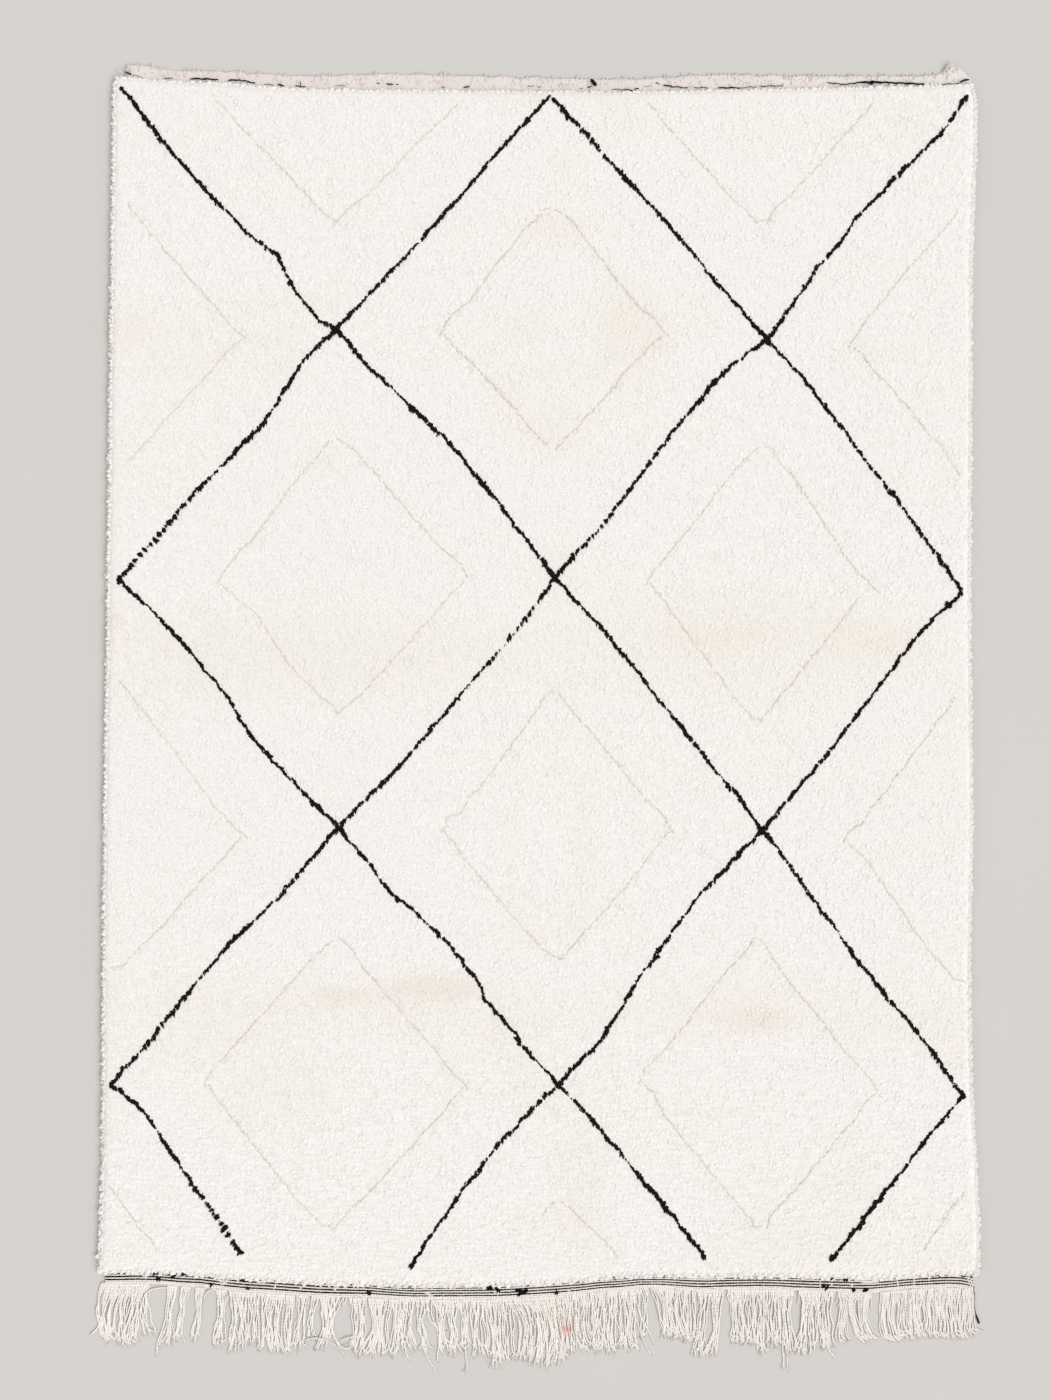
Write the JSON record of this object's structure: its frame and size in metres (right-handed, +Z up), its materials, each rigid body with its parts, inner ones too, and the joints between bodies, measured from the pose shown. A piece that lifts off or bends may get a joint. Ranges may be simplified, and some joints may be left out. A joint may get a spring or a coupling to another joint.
{
  "type": "beni ourain rug",
  "caption": "Flat hand-knotted wool rug with a deep ivory pile, a dark open lozenge lattice, flat-woven ends and a fringe along one short edge.",
  "frame": {"origin": "middle of the rug's outline, fringe included, at floor level", "axes": "+X across the rug, +Y along it towards the plain end without fringe, +Z up from the floor through the pile"},
  "size_m": [2.0406, 3.026, 0.0212],
  "materials": {
    "wool_pile": "matt undyed ivory sheep's wool, cut pile, combed down towards the fringe",
    "dark_wool": "matt near-black wool: the knots of the lattice, the twined rows and the loose thread",
    "flat_weave": "matt plain weave of undyed wool weft on cream warp, ribbed across",
    "warp_fringe": "matt two-ply cream warp yarn with a faint pink cast"
  },
  "bodies": {
    "root": {"woven_rug": "wool_pile", "end_fringe": "warp_fringe"}
  },
  "joints": []
}
